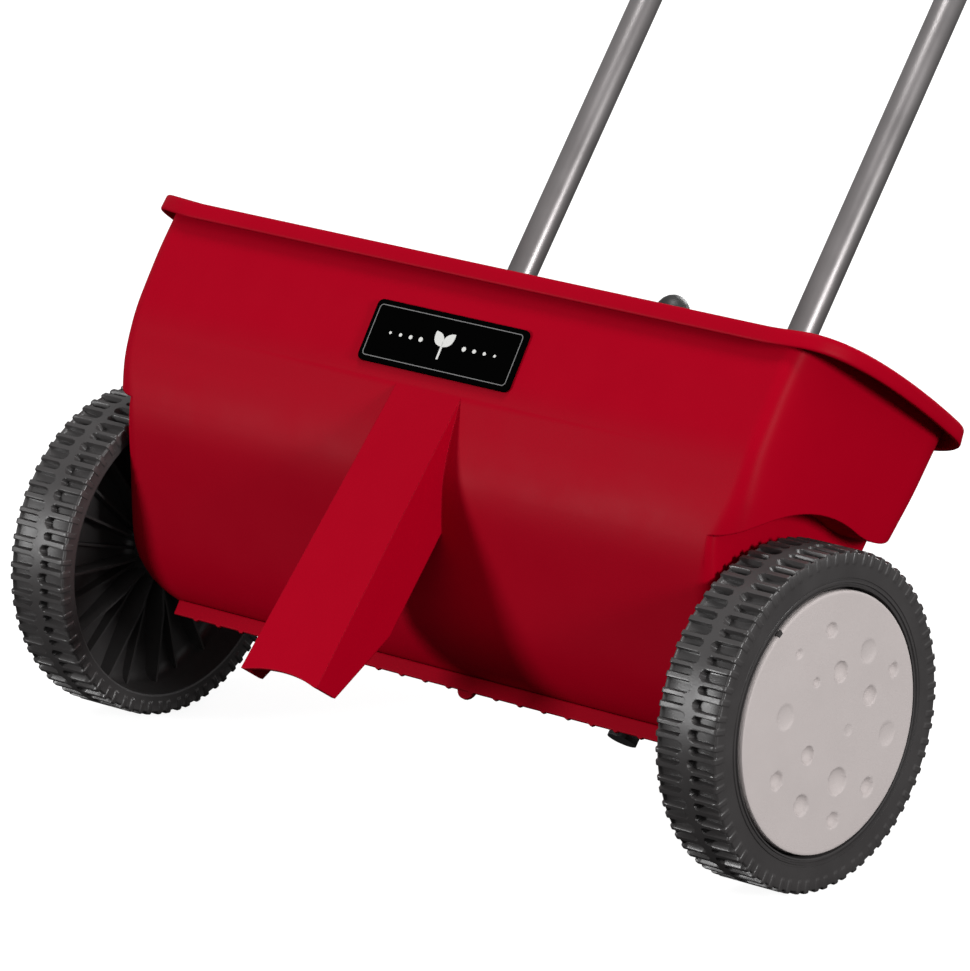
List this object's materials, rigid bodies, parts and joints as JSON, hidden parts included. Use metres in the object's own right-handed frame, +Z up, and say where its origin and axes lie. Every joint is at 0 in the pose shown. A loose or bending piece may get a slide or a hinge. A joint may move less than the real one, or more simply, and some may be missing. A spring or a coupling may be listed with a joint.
{
  "type": "garden spreader",
  "caption": "Push-along drop spreader: red tilted hopper on two black wheels, dosing slide with rear lever, long tube handle.",
  "frame": {"origin": "on the ground under the middle of the wheel axle, in the pushing pose", "axes": "+X along the axle to the driven wheel, +Y back towards the person pushing, +Z up"},
  "size_m": [0.5614, 0.8811, 0.9729],
  "materials": {
    "red_plastic": "satin moulded polypropylene",
    "wheel_black": "satin moulded",
    "black_plastic": "satin moulded",
    "grey_plastic": "fine matt grain",
    "badge_black": "gloss",
    "tube_grey": "satin metallic lacquer",
    "zinc_steel": "zinc plated",
    "grip_foam": "foam sleeve"
  },
  "bodies": {
    "frame": {"axle_bush_left": "black_plastic", "axle_bush_right": "black_plastic", "badge_plate": "badge_black", "clamp_screw_high_inner_left": "zinc_steel", "clamp_screw_high_inner_right": "zinc_steel", "clamp_screw_high_outer_left": "zinc_steel", "clamp_screw_high_outer_right": "zinc_steel", "clamp_screw_low_inner_left": "zinc_steel", "clamp_screw_low_inner_right": "zinc_steel", "clamp_screw_low_outer_left": "zinc_steel", "clamp_screw_low_outer_right": "zinc_steel", "grip": "grip_foam", "guide_rail_back": "black_plastic", "guide_rail_front": "red_plastic", "handle_bow": "tube_grey", "hopper_tub": "red_plastic", "joint_bolt_left": "zinc_steel", "joint_bolt_right": "zinc_steel", "lever_bracket": "zinc_steel", "lever_spacer": "black_plastic", "lower_tube_left": "tube_grey", "lower_tube_right": "tube_grey", "metering_plate": "black_plastic", "pivot_bolt": "zinc_steel", "star_nut_left": "black_plastic", "star_nut_right": "black_plastic", "tube_clamp_high_left": "black_plastic", "tube_clamp_high_right": "black_plastic", "tube_clamp_low_left": "black_plastic", "tube_clamp_low_right": "black_plastic", "tube_end_plug_left": "black_plastic", "tube_end_plug_right": "black_plastic"},
    "drive_wheel": {"wheel_right": "wheel_black", "hub_cap_right": "grey_plastic", "axle": "zinc_steel", "agitator": "black_plastic", "drive_pin": "zinc_steel", "push_on_cap_right": "zinc_steel", "push_on_cap_left": "zinc_steel", "wheel_washer_right": "zinc_steel"},
    "free_wheel": {"wheel_left": "wheel_black", "hub_cap_left": "grey_plastic", "wheel_washer_left": "zinc_steel"},
    "lever": {"lever_arm": "zinc_steel", "lever_knob": "black_plastic"},
    "slide": {"dosing_slide": "black_plastic"}
  },
  "joints": [
    {"name": "drive_wheel_spin", "type": "hinge", "parent": "frame", "child": "drive_wheel", "pos_m": [0.2573, 0, 0.1], "axis": [1, 0, 0], "continuous": true},
    {"name": "free_wheel_spin", "type": "hinge", "parent": "frame", "child": "free_wheel", "pos_m": [-0.2573, 0, 0.1], "axis": [1, 0, 0], "continuous": true},
    {"name": "lever_swing", "type": "hinge", "parent": "frame", "child": "lever", "pos_m": [0, 0.07923, 0.10817], "axis": [0, 0.8387, -0.5446], "range_deg": [-10, 10]},
    {"name": "dosing_slide_travel", "type": "slide", "parent": "frame", "child": "slide", "axis": [1, 0, 0], "range_m": [-0.0098, 0.0098]}
  ],
  "couplings": [
    {"joint": "dosing_slide_travel", "follows": "lever_swing", "m_per_rad": -0.055}
  ]
}
